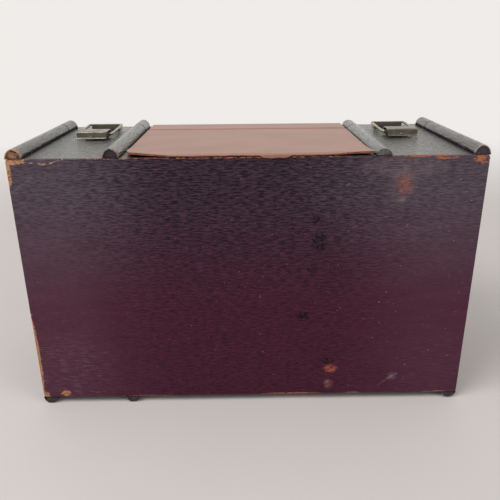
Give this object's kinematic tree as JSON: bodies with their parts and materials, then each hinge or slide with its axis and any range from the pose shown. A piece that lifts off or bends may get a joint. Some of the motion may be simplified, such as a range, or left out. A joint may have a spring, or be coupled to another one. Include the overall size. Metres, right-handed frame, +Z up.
{
  "type": "sheet film holder case",
  "caption": "Leatherette-covered box with a hinged shallow lid, draw latches, half-round ribs and divided bays that carry sheet film holders.",
  "frame": {"origin": "middle of the standing surface, under the middle of the box, at the level of the foot ribs' worn flats", "axes": "+X to the right when facing the plain back, +Y from the back towards the lid, +Z up"},
  "size_m": [0.36, 0.1564, 0.2221],
  "materials": {
    "leatherette": "black-purple grained bookcloth leatherette, worn brown at the edges",
    "plywood": "bare plywood",
    "brown_leather": "smooth brown leather with a pale cut edge",
    "felt": "wool felt",
    "latch_bronze": "dull tarnished brass",
    "hinge_steel": "dull plated steel"
  },
  "bodies": {
    "case": {"back_panel": "plywood", "top_panel": "plywood", "bottom_panel": "plywood", "left_end_panel": "plywood", "right_end_panel": "plywood", "back_cover": "leatherette", "case_wrap": "leatherette", "left_divider": "plywood", "right_divider": "plywood", "leather_panel": "brown_leather", "left_outer_rib": "leatherette", "left_inner_rib": "leatherette", "right_inner_rib": "leatherette", "right_outer_rib": "leatherette", "left_outer_foot": "leatherette", "left_inner_foot": "leatherette", "right_inner_foot": "leatherette", "right_outer_foot": "leatherette", "left_hinge_case_leaf": "hinge_steel", "left_hinge_pin": "hinge_steel", "left_latch_base": "latch_bronze", "left_latch_pin": "latch_bronze", "right_hinge_case_leaf": "hinge_steel", "right_hinge_pin": "hinge_steel", "right_latch_base": "latch_bronze", "right_latch_pin": "latch_bronze", "base_nail_1": "latch_bronze", "base_nail_2": "latch_bronze", "base_nail_3": "latch_bronze", "base_nail_4": "latch_bronze"},
    "lid": {"lid_panel": "plywood", "lid_top_panel": "plywood", "lid_bottom_panel": "plywood", "lid_left_end_panel": "plywood", "lid_right_end_panel": "plywood", "lid_cover": "leatherette", "lid_wrap": "leatherette", "lid_pad": "felt", "lid_leather_strip": "brown_leather", "lid_left_outer_rib": "leatherette", "lid_left_inner_rib": "leatherette", "lid_right_inner_rib": "leatherette", "lid_right_outer_rib": "leatherette", "left_hinge_lid_leaf": "hinge_steel", "left_latch_catch": "latch_bronze", "right_hinge_lid_leaf": "hinge_steel", "right_latch_catch": "latch_bronze", "catch_nail_1": "latch_bronze", "catch_nail_2": "latch_bronze", "catch_nail_3": "latch_bronze", "catch_nail_4": "latch_bronze"},
    "left_lever": {"left_latch_lever": "latch_bronze"},
    "left_link": {"left_latch_link": "latch_bronze"},
    "right_lever": {"right_latch_lever": "latch_bronze"},
    "right_link": {"right_latch_link": "latch_bronze"}
  },
  "joints": [
    {"name": "lid_hinge", "type": "hinge", "parent": "case", "child": "lid", "pos_m": [0, 0.04375, 0.00325], "axis": [-1, 0, 0], "range_deg": [0, 110]},
    {"name": "left_lever_turn", "type": "hinge", "parent": "case", "child": "left_lever", "pos_m": [-0.13542, 0.01965, 0.21845], "axis": [-1, 0, 0], "range_deg": [-3, 140]},
    {"name": "left_link_turn", "type": "hinge", "parent": "left_lever", "child": "left_link", "pos_m": [-0.13542, 0.01065, 0.21845], "axis": [-1, 0, 0], "range_deg": [-225, 6]},
    {"name": "right_lever_turn", "type": "hinge", "parent": "case", "child": "right_lever", "pos_m": [0.13542, 0.01965, 0.21845], "axis": [-1, 0, 0], "range_deg": [-3, 140]},
    {"name": "right_link_turn", "type": "hinge", "parent": "right_lever", "child": "right_link", "pos_m": [0.13542, 0.01065, 0.21845], "axis": [-1, 0, 0], "range_deg": [-225, 6]}
  ],
  "couplings": [
    {"joint": "left_link_turn", "follows": "left_lever_turn", "ratio": -1.6},
    {"joint": "right_link_turn", "follows": "right_lever_turn", "ratio": -1.6}
  ]
}
